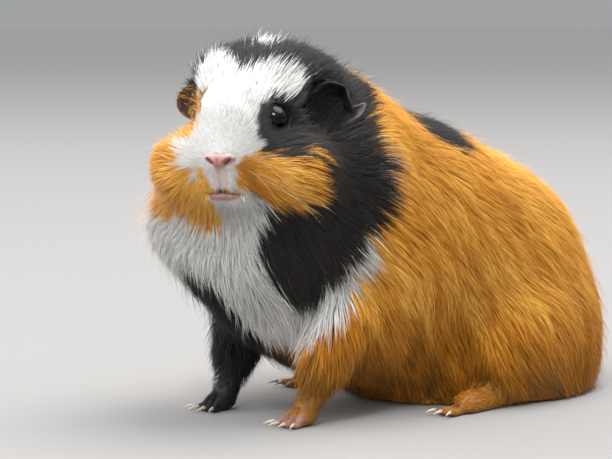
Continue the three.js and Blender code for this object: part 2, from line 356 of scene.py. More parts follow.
def markings(points):
    """Shares of orange, black and white hair at each point, with ragged borders."""
    head = on_head(points)
    rag = 1.3 * waves(points, 9, 11) + 0.9 * waves(points, 3.5, 12)
    orange = np.ones(len(points))
    black = np.zeros(len(points))
    white = np.zeros(len(points))

    def paint(inside, which, soft=1.2):
        share = ramp(inside + rag, -soft, soft)
        for number, colour in enumerate((orange, black, white)):
            colour *= 1 - share
            if number == which:
                colour += share

    # The saddle patch on the back.
    paint(egg(points, (16, 17, 118), (26, 19, 14)), BLACK, 3)
    # The white collar, hair-thin above and wide above the left foreleg, and the white bib in front.
    x, y, z = points.T
    behind_collar = np.minimum(-41.5 - y, (-43.0 - 0.85 * (58 - z) - y) / 1.31)
    lean = points.copy()
    lean[:, 1] -= 0.22 * (90 - np.minimum(lean[:, 2], 90))
    paint(np.minimum(egg(lean, (37, -63, 84), (30, 33, 56)), behind_collar + 30 * ramp(z, 84, 96)), WHITE)
    paint(egg(points, (-4, -93, 70), (40, 38, 42)), WHITE)
    paint(egg(points, (14, -71, 43), (19, 20, 17)), WHITE, 3)
    # The black mantle on the left of the neck, and the black right foreleg.
    edge_of_bib = x - 19.5 - 0.20 * (z - 41) + 40 * ramp(z, 86, 96)
    edge_of_collar = (-42.0 - 0.74 * (76 - z) - y) / 1.24
    mantle = np.minimum(egg(lean, (39, -65, 90), (31, 33, 56)), edge_of_bib)
    paint(np.minimum(mantle, edge_of_collar + 30 * ramp(z, 84, 96)), BLACK)
    leg_top = (57.0 - 0.34 * (np.maximum(x, -12) + 2) + 0.8 * np.minimum(x + 12, 0) - z) / 1.06
    leg_side = 5.5 - 0.13 * (z - 32) - x
    paint(np.minimum(np.minimum(leg_top, leg_side), -36 - 0.3 * z - y), BLACK)
    # The head: black crown, orange right cheek, white blaze with two lobes, orange left cheek.
    crown = egg(head, (3, 4, 6), (44, 36, 42))
    paint(np.minimum(crown, head[:, 2] + 16 + 0.2 * head[:, 0]), BLACK)
    paint(np.minimum(egg(head, (-32, -16, -20), (27, 36, 26)), -head[:, 0] - 5), ORANGE)
    paint(egg(head, (-12, -42, -40), (17, 26, 10)), ORANGE)
    paint(egg(head, (2, -46, -3), (17, 24, 21)), WHITE)
    paint(egg(head, (-13, -22, 8), (13.5, 17, 15)), WHITE)
    paint(egg(head, (-18, -10, 14), (10, 12, 9)), WHITE)
    paint(egg(head, (0, -30, 6), (14, 14, 10)), WHITE)
    slant = head[:, 2] + 0.15 * (head[:, 0] - 14)
    lobe = np.stack([head[:, 0], head[:, 1], slant], axis=1)
    paint(egg(lobe, (13, -21, 12.5), (14, 13, 8.5)), WHITE)
    paint(egg(head, (-9, -43, -14), (19.5, 17, 12)), WHITE)
    paint(egg(head, (0.5, -50, -27.5), (8.0, 12, 10)), WHITE)
    paint(egg(head, (5, -38, -42), (11, 16, 8.5)), WHITE, 2.5)
    paint(egg(head, (2, -20, 24), (10, 8, 8)), BLACK)
    paint(egg(head, (4, -3, 28), (5.5, 5, 5.5)), WHITE, 3.0)
    paint(egg(head, (-20, -32, 1), (9.5, 18, 7)), BLACK)
    paint(egg(head, (-21, -28, -3), (10, 20, 8)), ORANGE, 4)
    hang = head[:, 2] + 0.28 * (head[:, 0] - 14)
    cheek = np.stack([head[:, 0], head[:, 1], hang], axis=1)
    paint(egg(cheek, (24, -35, -26.5), (17.5, 18, 11.5)), ORANGE)
    paint(np.minimum(egg(head, (17, -29, -5.5), (9, 12, 8)), head[:, 0] - 9.5), BLACK)
    streak = 0.9 - off_line(head, (27, -34, -10), (40, -24, -22)) + waves(points, 2.0, 14)
    paint(streak, ORANGE, 1.0)
    return np.stack([orange, black, white], axis=1)


def bare(points):
    """How much naked skin shows: lips and cleft, lids, toe tips, and the line of the mouth, painted dark as
    the shade in its slit.
    """
    head = on_head(points)
    lips = 1 - ramp(egg(head, (0.5, -46, -34.2), (6.0, 8, 2.6)) * -1, -0.6, 0.8)
    cleft = 1 - ramp(-egg(head, (0.5, -49, -27.5), (3.4, 7, 6.2)), -0.8, 1.0)
    lids = np.zeros(len(points))
    for middle in eyes_off_head:
        from_eye = np.linalg.norm(points - middle, axis=1)
        lids = np.maximum(lids, 1 - ramp(from_eye, EYE_R + 1.1, EYE_R + 1.6))
    toes = (1 - ramp(points[:, 2], 4.0, 6.0)) * ramp(-points[:, 1], 66, 70) * ramp(points[:, 0], 0, 5)
    # The line of the mouth is painted dark, as the shade in the slit between the lips.
    mouth = np.exp(-(((head[:, 2] + 32.7) / 0.55) ** 2)) * (1 - ramp(np.abs(head[:, 0] - 0.3), 5.5, 8.0))
    return np.maximum(lips, 0.6 * cleft), lids, toes, mouth * ramp(-head[:, 1], 36, 42)


def colour_points(mesh, points, name="markings"):
    """Keeps three numbers a point on a mesh, as red, green and blue. Markings: orange, black and white."""
    layer = mesh.attributes.new(name, "FLOAT_COLOR", "POINT")
    values = np.ones((len(mesh.vertices), 4), np.float32)
    values[:, :3] = points
    layer.data.foreach_set("color", values.ravel())


skin_points = places(skin.data)
colour_points(skin.data, markings(skin_points))
lips, lids, toes, mouth = bare(skin_points)
colour_points(skin.data, np.stack([np.maximum(lips, 0.7 * toes), lids, mouth], axis=1), "bare")


def linear(code):
    """An sRGB hex colour as the linear numbers that Blender wants."""
    parts = [int(code[i : i + 2], 16) / 255 for i in (1, 3, 5)]
    return tuple(c / 12.92 if c <= 0.04045 else ((c + 0.055) / 1.055) ** 2.4 for c in parts) + (1.0,)


def node(tree, kind, links=None, **settings):
    """Adds a shader node, sets its values and joins its inputs."""
    made = tree.nodes.new(kind)
    for name, value in settings.items():
        setattr(made, name, value)
    for socket, source in (links or {}).items():
        if isinstance(source, bpy.types.NodeSocket):
            tree.links.new(source, made.inputs[socket])
        else:
            made.inputs[socket].default_value = source
    return made


def blank(name):
    """A new material with only its shader and its output, and the shader's tree."""
    made = bpy.data.materials.new(name)
    made.use_nodes = True
    tree = made.node_tree
    return made, tree, tree.nodes["Principled BSDF"]


def stored(tree, name):
    """The three numbers that a piece's points keep under a name: red, green and blue."""
    kept = node(tree, "ShaderNodeAttribute", attribute_name=name)
    return node(tree, "ShaderNodeSeparateColor", {"Color": kept.outputs["Color"]}).outputs


def marked_colour(tree, orange, black, white):
    """The three colours of the coat, laid out by the markings attribute."""
    shares = stored(tree, "markings")
    dark = node(tree, "ShaderNodeMix", {0: shares["Green"], 6: orange, 7: black}, data_type="RGBA")
    pale = {0: shares["Blue"], 6: dark.outputs[2], 7: white}
    return node(tree, "ShaderNodeMix", pale, data_type="RGBA").outputs[2]


# Tanned skin with its short dense undercoat left on: matt, a little mottled and soft-looking. Its orange is
# darker than the hair's, partly as the undercoat's colour and partly as painted shade between the tufts.
# Lids, lips and toes are bare skin, and the line of the mouth is painted dark as the shade in its slit.
# The mottle is drawn 1.1 mm wide, coarser than real down, so that it shows.
DOWN_GRAIN = 1.1 * MM
hide, hide_tree, hide_shader = blank("tanned_skin_with_undercoat_and_painted_shade")
hide_own = node(hide_tree, "ShaderNodeTexCoord")
down_settings = {"Vector": hide_own.outputs["Object"], "Scale": 1 / DOWN_GRAIN, "Detail": 3.0}
down = node(hide_tree, "ShaderNodeTexNoise", down_settings)
# The hide's orange is darker than the hair's: partly the undercoat, partly painted shade between the tufts.
hide_colour = marked_colour(hide_tree, linear("#A86A12"), linear("#0E0C0D"), linear("#E4E1DC"))
shaded = node(hide_tree, "ShaderNodeMix", {0: 0.6, 6: hide_colour, 7: linear("#000000")}, data_type="RGBA")
mottle = {0: down.outputs["Fac"], 6: hide_colour, 7: shaded.outputs[2]}
hide_colour = node(hide_tree, "ShaderNodeMix", mottle, data_type="RGBA").outputs[2]
naked = stored(hide_tree, "bare")
# Red: pink bare skin of lips, cleft and toes. Green: grey bare lids. Blue: painted shade in the slit of the
# mouth.
for place, tint in (("Red", "#987672"), ("Green", "#5A5256"), ("Blue", "#54302D")):
    over = {0: naked[place], 6: hide_colour, 7: linear(tint)}
    hide_colour = node(hide_tree, "ShaderNodeMix", over, data_type="RGBA").outputs[2]
hide_tree.links.new(hide_colour, hide_shader.inputs["Base Color"])
hide_shader.inputs["Roughness"].default_value = 0.62
down_relief = {"Height": down.outputs["Fac"], "Strength": 0.5, "Distance": 0.4 * MM}
hide_bump = node(hide_tree, "ShaderNodeBump", down_relief)
hide_tree.links.new(hide_bump.outputs["Normal"], hide_shader.inputs["Normal"])
skin.data.materials.append(hide)
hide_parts(*[flesh for flesh in FLESH if flesh != "nose"])
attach(skin, "root")

# ---- Eyes ------------------------------------------------------------------------------------------
# Blown glass eyes, almost black, set in the sockets under the lids. Each is a ball with a slightly
# steeper clear front, painted dark brown behind the front with a black pupil.
EYEBALL_R = EYE_R * MM
PUPIL_R = 2.6
CORNEA_STANDS = 0.5

# Blown glass painted from behind: very smooth, near-black brown with fine darker threads, drawn 0.55 mm
# apart, and one clear highlight.
IRIS_THREAD = 0.55 * MM
glass, glass_tree, glass_shader = blank("painted_glass_eye")
eye_own = node(glass_tree, "ShaderNodeTexCoord")
thread_settings = {"Vector": eye_own.outputs["Object"], "Scale": 1 / IRIS_THREAD, "Detail": 2.0}
threads = node(glass_tree, "ShaderNodeTexNoise", thread_settings)
browns = {0: threads.outputs["Fac"], 6: linear("#0A0604"), 7: linear("#1A0F09")}
browns = node(glass_tree, "ShaderNodeMix", browns, data_type="RGBA")
painted = {0: stored(glass_tree, "iris")["Red"], 6: browns.outputs[2], 7: linear("#030202")}
painted = node(glass_tree, "ShaderNodeMix", painted, data_type="RGBA")
glass_tree.links.new(painted.outputs[2], glass_shader.inputs["Base Color"])
glass_shader.inputs["Roughness"].default_value = 0.04
glass_shader.inputs["IOR"].default_value = 1.45
glass_shader.inputs["Specular IOR Level"].default_value = 0.22

for side, middle, looks in zip(("left", "right"), eyes_off_head, looks_off_head):
    eye = sphere(f"eyeball_{side}", 48, 32, EYEBALL_R)
    ball = places(eye.data)
    ahead = ball[:, 2] / EYE_R
    ball[:, 2] += CORNEA_STANDS * ramp(ahead, 0.55, 1.0)
    turn_to = Vector((0, 0, 1)).rotation_difference(Vector(looks)).to_matrix()
    put_places(eye.data, ball @ np.array(turn_to).T + middle)
    pupil = 1 - ramp(np.hypot(ball[:, 0], ball[:, 1]) + 9 * (ahead < 0), PUPIL_R - 0.3, PUPIL_R + 0.5)
    colour_points(eye.data, np.repeat(pupil[:, None], 3, axis=1), "iris")
    eye.data.materials.append(glass)
    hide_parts(f"eye_{side}")
    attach(eye, "root")

# ---- Nose ------------------------------------------------------------------------------------------
# The bare pad between the nostrils, cast in soft resin and let into the muzzle. It is a wide triangle
# with a rounded top, a cleft below and two comma-shaped nostrils, and its skin is finely pebbled.
NOSE_HALF = np.array([6.5, 3.5, 3.2])
NOSTRIL_TOP, NOSTRIL_FOOT = np.array([4.3, -0.1]), np.array([2.7, -1.4])
NOSTRIL_R, NOSTRIL_DEEP = 0.62, 1.5

nose = sphere("nose_pad", 96, 64, MM)
pad = places(nose.data)
low = ramp(-pad[:, 2], -0.35, 0.95)
pad *= NOSE_HALF
pad[:, 0] *= 1 - 0.40 * low
front = ramp(-pad[:, 1], 0.2, 2.2)
one_half = np.stack([np.abs(pad[:, 0]), pad[:, 2]], axis=1)
nostril = off_line(one_half, NOSTRIL_TOP, NOSTRIL_FOOT)
pad[:, 1] += front * NOSTRIL_DEEP * np.exp(-((nostril / NOSTRIL_R) ** 2))
pad[:, 1] -= front * 0.35 * np.exp(-(((nostril - 1.5) / 0.6) ** 2))
pad[:, 1] += front * 0.55 * np.exp(-((pad[:, 0] / 0.55) ** 2)) * ramp(-pad[:, 2], -0.8, 0.6)
put_places(nose.data, off_head(pad + NOSE_MIDDLE + [0.2, 0.35, -0.1]))
# Painted shade inside the nostrils.
dark = front * np.exp(-((nostril / (NOSTRIL_R * 1.05)) ** 2))
colour_points(nose.data, np.stack([dark, ramp(pad[:, 2], 0.4, 2.8), 0 * dark], axis=1), "nostril")

# Cast resin, pebbled by its mould like moist nose leather: half-matt, and a little see-through, so that
# its edges glow. It is paler towards the top, where thin hair grows over it, and the nostrils are painted
# dark red-brown as the shade inside them. Pebbles are 0.38 mm wide.
PEBBLE, BLUSH = 0.38 * MM, 2.4 * MM
resin, resin_tree, resin_shader = blank("soft_resin_nose_leather")
nose_own = node(resin_tree, "ShaderNodeTexCoord")
pebble_cells = {"Vector": nose_own.outputs["Object"], "Scale": 1 / PEBBLE}
pebbles = node(resin_tree, "ShaderNodeTexVoronoi", pebble_cells)
blush_settings = {"Vector": nose_own.outputs["Object"], "Scale": 1 / BLUSH, "Detail": 3.0}
blush = node(resin_tree, "ShaderNodeTexNoise", blush_settings)
pinks = {0: blush.outputs["Fac"], 6: linear("#A56F6B"), 7: linear("#B5867F")}
pinks = node(resin_tree, "ShaderNodeMix", pinks, data_type="RGBA")
nostril_marks = stored(resin_tree, "nostril")
paler = {0: nostril_marks["Green"], 6: pinks.outputs[2], 7: linear("#C4AEA8")}
paler = node(resin_tree, "ShaderNodeMix", paler, data_type="RGBA")
# Painted shade: the nostrils are coloured dark red-brown.
nostril_shade = {0: nostril_marks["Red"], 6: paler.outputs[2], 7: linear("#7A3B3C")}
nostril_shade = node(resin_tree, "ShaderNodeMix", nostril_shade, data_type="RGBA")
resin_tree.links.new(nostril_shade.outputs[2], resin_shader.inputs["Base Color"])
resin_shader.inputs["Roughness"].default_value = 0.55
resin_shader.inputs["Specular IOR Level"].default_value = 0.25
resin_shader.inputs["Subsurface Weight"].default_value = 0.15
resin_shader.inputs["Subsurface Radius"].default_value = (0.002, 0.0008, 0.0005)
resin_shader.inputs["Subsurface Scale"].default_value = 1.0
pebble_settings = {"Height": pebbles.outputs["Distance"], "Strength": 0.35, "Distance": 0.2 * MM}
pebble_bump = node(resin_tree, "ShaderNodeBump", pebble_settings)
resin_tree.links.new(pebble_bump.outputs["Normal"], resin_shader.inputs["Normal"])
nose.data.materials.append(resin)
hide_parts("nose")
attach(nose, "root")

# ---- Ears ------------------------------------------------------------------------------------------
# Thin cupped petals of skin over a stiff card, rooted behind the temples and hanging a little. The rim
# curls in, and the lower outer corner folds out into a small bare lobe.
EAR_ROOT = np.array([20.5, -7.0, 0.0])
EAR_UP = unit(np.array([0, -0.2, 0.98]))
EAR_OUT = np.array([0.8, 0.6, 0])
EAR_OUT = unit(EAR_OUT - EAR_UP * (EAR_OUT @ EAR_UP))
EAR_FRONT = np.cross(EAR_OUT, EAR_UP)
EAR_LONG, EAR_CARD = 22.0, 0.9
EAR_HIGH = {"left": 9.6, "right": 7.2}
EAR_CURL = {"left": 1.0, "right": 0.0}
EAR_DISH = {"left": 3.6, "right": 2.2}
# For each ear: the petal's colour, darkened as painted shade of the cup, and the rim's colour.
EAR_COLOURS = {"left": ("#050405", "#2E2A2D"), "right": ("#3A2212", "#6B472C")}
LOBE_COLOUR = "#8C868B"
EAR_PORE = 1.1 * MM


def ear_place(across, along, high, dish, curl):
    """Across from -1 at the bottom edge to 1 at the top, along from 0 at the root to 1 at the rim."""
    oval = np.sqrt(1 - np.clip((along - 0.44) / 0.56, 0, 1) ** 2)
    half = high * oval * (0.45 + 0.55 * ramp(along, 0.0, 0.44))
    forwards = curl * 3.2 * across**2 * along - dish * (1 - across**2) * np.sin(math.pi * along)
    curled = 2.2 * ramp(along, 0.80, 1.0) + 1.4 * ramp(np.abs(across), 0.8, 1.0)
    forwards += curl * curled * ramp(across, -0.35, 0.2)
    lobe = curl * ramp(along, 0.68, 0.95) * ramp(-across, 0.1, 0.75)
    out = along * EAR_LONG + 3.2 * lobe - 4.2 * curl * ramp(along, 0.72, 1.0) * ramp(across, -0.45, 0.1)
    up = across * half - 2.4 * along**2 + 0.8 * lobe
    ahead = forwards - 2.4 * lobe
    return EAR_ROOT + up[:, None] * EAR_UP + out[:, None] * EAR_OUT + ahead[:, None] * EAR_FRONT, lobe


ears = {}
for side, sign in (("left", 1), ("right", -1)):
    bpy.ops.object.select_all(action="DESELECT")
    bpy.ops.mesh.primitive_grid_add(x_subdivisions=36, y_subdivisions=30, size=2 * MM)
    ear = bpy.context.view_layer.objects.active
    ear.name = f"ear_petal_{side}"
    flat = places(ear.data)
    along = np.sin((flat[:, 1] + 1) * math.pi / 4)
    spot, lobe = ear_place(flat[:, 0], along, EAR_HIGH[side], EAR_DISH[side], EAR_CURL[side])
    put_places(ear.data, off_head(spot * [sign, 1, 1]))
    rim = np.maximum(ramp(along, 0.86, 1.0), ramp(np.abs(flat[:, 0]), 0.8, 1.0) * ramp(along, 0.3, 0.6))
    shade = np.stack([rim, lobe, 0 * lobe], axis=1)
    colour_points(ear.data, shade, "petal")
    weld(ear, 0.05 * MM)
    card = ear.modifiers.new("card", "SOLIDIFY")
    card.thickness = EAR_CARD * MM
    card.offset = 0
    bpy.ops.object.modifier_apply(modifier=card.name)
    rounding = ear.modifiers.new("rounding", "SUBSURF")
    rounding.levels = rounding.render_levels = 1
    bpy.ops.object.modifier_apply(modifier=rounding.name)
    bpy.ops.object.shade_smooth()
    unwrap(ear)
    cup_shade, pale_rim = EAR_COLOURS[side]
    # Thin tanned skin, painted dark over the petal as the shade in its cup, and lighter along the rim and
    # on the
    # bare lobe: half-matt, with pores drawn 1.1 mm wide so that they show.
    ear_skin, ear_tree, ear_shader = blank(f"thin_tanned_ear_skin_{side}")
    ear_own = node(ear_tree, "ShaderNodeTexCoord")
    pore_settings = {"Vector": ear_own.outputs["Object"], "Scale": 1 / EAR_PORE, "Detail": 4.0}
    pores = node(ear_tree, "ShaderNodeTexNoise", pore_settings)
    petal = stored(ear_tree, "petal")
    rims = {0: petal["Red"], 6: linear(cup_shade), 7: linear(pale_rim)}
    rims = node(ear_tree, "ShaderNodeMix", rims, data_type="RGBA")
    lobes = {0: petal["Green"], 6: rims.outputs[2], 7: linear(LOBE_COLOUR)}
    lobes = node(ear_tree, "ShaderNodeMix", lobes, data_type="RGBA")
    sunken = {0: 0.5, 6: lobes.outputs[2], 7: linear("#000000")}
    sunken = node(ear_tree, "ShaderNodeMix", sunken, data_type="RGBA")
    pored = {0: pores.outputs["Fac"], 6: lobes.outputs[2], 7: sunken.outputs[2]}
    pored = node(ear_tree, "ShaderNodeMix", pored, data_type="RGBA")
    ear_tree.links.new(pored.outputs[2], ear_shader.inputs["Base Color"])
    ear_shader.inputs["Roughness"].default_value = 0.55
    ear_shader.inputs["Specular IOR Level"].default_value = 0.25
    pore_relief = {"Height": pores.outputs["Fac"], "Strength": 0.4, "Distance": 0.3 * MM}
    pore_bump = node(ear_tree, "ShaderNodeBump", pore_relief)
    ear_tree.links.new(pore_bump.outputs["Normal"], ear_shader.inputs["Normal"])
    ear.data.materials.append(ear_skin)
    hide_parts(f"ear_{side}")
    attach(ear, "root")
    ears[side] = ear

# ---- Coat ------------------------------------------------------------------------------------------
# The hair, in thin tapered tufts set into the hide. They lie back from the nose over the head, down the
# chest and legs, and back and down over the trunk. Each tuft is a closed three-sided spike.


def lie(points, out):
    """The way the hair lies at each point of the hide, along the surface."""
    head = on_head(points)
    from_nose = unit(head - np.array([0.5, -50.0, -20.0]))
    from_nose[:, 2] -= 0.35 * ramp(-head[:, 2], 16, 40)
    radial = unit(from_nose) @ HEAD_AXES
    leg = ramp(-points[:, 2], -48, -30) * ramp(-points[:, 1], 30, 42)
    along = np.array([0.0, 0.5, -0.85]) * (1 - leg)[:, None] + np.array([0.0, 0.0, -1.0]) * leg[:, None]
    fore = ramp(-points[:, 2], -12, -7) * ramp(-points[:, 1], 45, 52)
    foot = np.maximum(fore, on_hind_feet(points))[:, None]
    along = along * (1 - foot) + np.array([0.0, -1.0, -0.35]) * foot
    on_the_head = ramp(egg(head, (0, -12, -12), (50, 44, 44)), -12, 2)[:, None]
    flow = radial * on_the_head + along * (1 - on_the_head) + 0.001
    flow -= out * np.sum(flow * out, axis=1, keepdims=True)
    flow = unit(flow)
    side = np.cross(out, flow)
    sway = (0.22 * waves(points, 38, 31) + 0.13 * waves(points, 12, 32)) * (1 - 0.5 * on_the_head[:, 0])
    return unit(flow * np.cos(sway)[:, None] + side * np.sin(sway)[:, None])


def survey(piece, depth):
    """What the tufts need to know of the surface that they grow from."""
    mesh = piece.data
    mesh.calc_loop_triangles()
    count = len(mesh.loop_triangles)
    corners, loops = np.empty(count * 3, np.int32), np.empty(count * 3, np.int32)
    mesh.loop_triangles.foreach_get("vertices", corners)
    mesh.loop_triangles.foreach_get("loops", loops)
    corners, loops = corners.reshape(-1, 3), loops.reshape(-1, 3)
    flat = np.empty(len(mesh.loops) * 2)
    mesh.uv_layers[0].data.foreach_get("uv", flat)
    points = places(mesh)
    spread = points[corners]
    area = np.linalg.norm(np.cross(spread[:, 1] - spread[:, 0], spread[:, 2] - spread[:, 0]), axis=1) / 2
    return {
        "points": points,
        "out": normals(mesh),
        "depth": depth(points),
        "corners": corners,
        "area": area,
        "middles": spread.mean(axis=1),
        "map": flat.reshape(-1, 2)[loops],
        "search": BVHTree.FromPolygons(points.tolist(), corners.tolist()),
    }


def worth(thing, points):
    """A number for each point, from a number or from a function of the points."""
    return thing(points) if callable(thing) else np.full(len(points), float(thing))


def roots(ground, count, where, seed):
    """Random places on a surface, more of them where `where` is high."""
    dice = np.random.default_rng(seed)
    weight = ground["area"] * where(ground["middles"])
    face = dice.choice(len(weight), size=count, p=weight / weight.sum())
    a, b = dice.random(count), dice.random(count)
    over = a + b > 1
    a[over], b[over] = 1 - a[over], 1 - b[over]
    shares = np.stack([1 - a - b, a, b], axis=1)[..., None]
    corners = ground["corners"][face]
    points = np.sum(ground["points"][corners] * shares, axis=1)
    out = unit(np.sum(ground["out"][corners] * shares, axis=1))
    depth = np.sum(ground["depth"][corners] * shares[..., 0], axis=1)
    spot = np.sum(ground["map"][face] * shares, axis=1)
    return points, out, depth, spot


def comb(ground, points, out, long, steps):
    """Walks from each point along the lie of the coat, keeping close to the surface."""
    path, outs, way = [points], [out], lie(points, out)
    for _ in range(steps):
        ahead = path[-1] + way * (long / steps)[:, None]
        found = [ground["search"].find_nearest(Vector(p)) for p in ahead]
        on_surface = np.array([hit[0] for hit in found])
        out = unit(np.array([hit[1] for hit in found]) * 0.5 + outs[-1] * 0.5)
        path.append(on_surface * 0.7 + ahead * 0.3)
        outs.append(out)
        way = unit(way * 0.4 + lie(path[-1], out) * 0.6)
    return np.array(path), np.array(outs)


def one_each(shares, dice):
    """Where colours meet, each tuft takes one of them."""
    steps = np.cumsum(shares / shares.sum(axis=1, keepdims=True), axis=1)
    return np.eye(3)[(dice[:, None] > steps).sum(axis=1).clip(0, 2)]


LIT_AS_HIDE = 0.5  # how far a tuft is shaded as the hide below it, so that the coat looks soft
FLOOR_GAP, PRESSED_BELOW = 0.25, 2.5  # hair this low is pressed up from the floor, in millimetres


def spikes(name, centre, out, wide, steps):
    """A mesh of closed three-sided spikes along the given centre lines."""
    count = centre.shape[1]
    share = np.linspace(0, 1, steps + 1)
    along = unit(np.gradient(centre, axis=0))
    across = unit(np.cross(along, out[None]))
    up = np.cross(across, along)
    profile = np.sqrt(1 - share) * (0.6 + 0.4 * np.minimum(share * 4, 1))
    rings = []
    for i in range(steps):
        half = (wide * profile[i] / 2)[:, None]
        ridge = centre[i] + up[i] * half * 0.8
        rings += [centre[i] - across[i] * half, centre[i] + across[i] * half, ridge]
    points = np.stack([*rings, centre[steps]], axis=1)
    high = points[..., 2]
    room = PRESSED_BELOW - FLOOR_GAP
    pressed = FLOOR_GAP + room * np.exp((np.minimum(high, PRESSED_BELOW) - PRESSED_BELOW) / room)
    points[..., 2] = np.where(high < PRESSED_BELOW, pressed, high)
    per = 3 * steps + 1
    faces = [(0, 1, 2)]
    for i in range(steps - 1):
        for a, b in ((1, 0), (2, 1), (0, 2)):
            faces += [(3 * i + a, 3 * i + b, 3 * i + 3 + b), (3 * i + a, 3 * i + 3 + b, 3 * i + 3 + a)]
    last = per - 4
    faces += [(last + a, last + b, per - 1) for a, b in ((1, 0), (2, 1), (0, 2))]
    table = (np.array(faces)[None] + (np.arange(count) * per)[:, None, None]).reshape(-1, 3)
    mesh = bpy.data.meshes.new(name)
    mesh.vertices.add(count * per)
    mesh.vertices.foreach_set("co", (points * MM).ravel())
    mesh.loops.add(table.size)
    mesh.loops.foreach_set("vertex_index", table.ravel().astype(np.int32))
    mesh.polygons.add(len(table))
    mesh.polygons.foreach_set("loop_start", np.arange(0, table.size, 3, dtype=np.int32))
    mesh.update(calc_edges=True)
    mesh.polygons.foreach_set("use_smooth", np.ones(len(table), bool))
    lit = np.empty(count * per * 3, np.float32)
    mesh.vertex_normals.foreach_get("vector", lit)
    as_hide = np.repeat(out[:, None], per, axis=1)
    lit = unit(lit.reshape(count, per, 3) * (1 - LIT_AS_HIDE) + as_hide * LIT_AS_HIDE)
    mesh.normals_split_custom_set_from_vertices(lit.reshape(-1, 3))
    return mesh, table, np.append(np.repeat(share[:-1], 3), 1.0)


def streaks(points):
    """Broad pale and dark bands that run with the lie of the body hair."""
    across, down = points @ [0, 0.86, 0.51], points @ [0, 0.51, -0.86]
    return waves(np.stack([0.35 * points[:, 0], across, 0.16 * down], axis=1), 7, 41)


STRAYS = 0.08  # share of the tufts that stand off from the rest
# Painted shade low on the body, deeper still on the breast and forelegs; it leaves the whites paler there,
# as painted light.
LOW_SHADE, LOW_FROM, LOW_TO = 0.42, 64, 4  # how much deeper the tones get, and between which heights
BREAST_SHADE = 0.42  # and how much more on the breast and the forelegs
ROOT_SUNK = 0.25  # millimetres that a tuft is set into the hide
PATCH_HALF = 0.0015  # half the size of a tuft's patch on the map


def tufts(name, ground, count, where, long, wide, seed, **habit):
    """One piece of coat. The tufts gather round fewer leading locks, which give them their way."""
    lift, gather, unruly = habit.get("lift", 1.0), habit.get("gather", 0.3), habit.get("unruly", 0.2)
    steps, lock, marks = habit.get("steps", 2), habit.get("lock", 4), habit.get("marks")
    dice = np.random.default_rng(seed)
    root, out, depth, spot = roots(ground, count, where, seed)
    leaders = max(count // lock, 50)
    lead_root, lead_out, _, _ = roots(ground, leaders, where, seed + 1)
    path, outs = comb(ground, lead_root, lead_out, worth(long, lead_root), steps)
    search = KDTree(leaders)
    for number, place in enumerate(lead_root):
        search.insert(place, number)
    search.balance()
    follows = np.array([search.find(p)[1] for p in root])
    own_long = dice.uniform(0.70, 1.0, count)
    own_lift = dice.uniform(0.45, 1.05, count) * worth(lift, root)
    stray = dice.random(count) < STRAYS
    own_lift[stray] *= 1.7
    offset = root - lead_root[follows]
    unruliness = dice.normal(0, 1, (count, 3)) * (unruly * worth(long, root) / 10)[:, None]
    tight = (worth(gather, root) * dice.uniform(0.6, 1.2, count))[:, None]
    thick = worth(wide, root) * dice.uniform(0.75, 1.25, count)
    thick[stray] *= 0.6
    centre = []
    for t in np.linspace(0, 1, steps + 1):
        at = t * own_long * steps
        low = np.clip(at.astype(int), 0, steps - 1)
        part = (at - low)[:, None]
        base = path[low, follows] * (1 - part) + path[low + 1, follows] * part
        up = outs[low, follows] * (1 - part) + outs[low + 1, follows] * part
        rise = depth * own_lift * (1 - (1 - t) ** 2) - ROOT_SUNK * (t == 0)
        centre.append(base + offset * (1 - tight * t) + up * rise[:, None] + unruliness * t * t)
    centre = np.array(centre)
    mesh, table, along = spikes(name, centre, out, thick, steps)
    per = len(along)
    colours = markings(centre[(steps + 1) // 2]) if marks is None else np.tile(marks, (count, 1))
    colour_points(mesh, np.repeat(one_each(colours, dice.random(count)), per, axis=0))
    tone = 0.30 + 0.30 * dice.random(count) + 0.30 * dice.random(leaders)[follows] + 0.13 * streaks(root)
    # Painted shade: deeper tones low down and on the breast and forelegs, which darken orange and black
    # hair and make white hair paler, as painted light.
    shade = (LOW_SHADE + BREAST_SHADE * in_front(root)) * (1 - ramp(root[:, 2], LOW_TO, LOW_FROM))
    tone = np.clip(tone - shade, 0, 1)
    hairs = np.stack([np.tile(along, count), np.repeat(tone, per), np.zeros(count * per)], axis=1)
    colour_points(mesh, hairs, "hair")
    across = np.append(np.tile([-1.0, 1.0, 0.0], steps), 0.0)
    local = np.stack([across, along * 2 - 1], axis=1) * PATCH_HALF
    patch = mesh.uv_layers.new(name="OFBake")
    patch.data.foreach_set("uv", (spot[:, None] + local[None]).reshape(-1, 2)[table.ravel()].ravel())
    piece = in_scene(name, mesh)
    piece.data.materials.append(coat)
    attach(piece, "root")


# Real guinea pig hair: keratin, smooth along its length, so it shines softly where it lies flat, in
# patches about 2.5 mm wide. Each tuft has its own tone. Low on the body, and more on the breast and
# forelegs, the tones are deeper as painted shade, partly also the legs' own deeper orange; this leaves the
# whites paler there, as painted light. Each tuft's root is painted darker, as the shade deep in the coat.
GLOSS_PATCH = 2.5 * MM
coat, coat_tree, coat_shader = blank("guinea_pig_hair")
hair = stored(coat_tree, "hair")
tipward, tones = hair["Red"], hair["Green"]
orange_tones = node(coat_tree, "ShaderNodeValToRGB", {"Fac": tones})
orange_tones.color_ramp.elements[0].color = linear("#7E5606")
orange_tones.color_ramp.elements[1].color = linear("#FFC252")
orange_tones.color_ramp.elements[1].position = 0.8
orange_tones.color_ramp.elements.new(0.4).color = linear("#D6850F")
orange_tones = orange_tones.outputs["Color"]
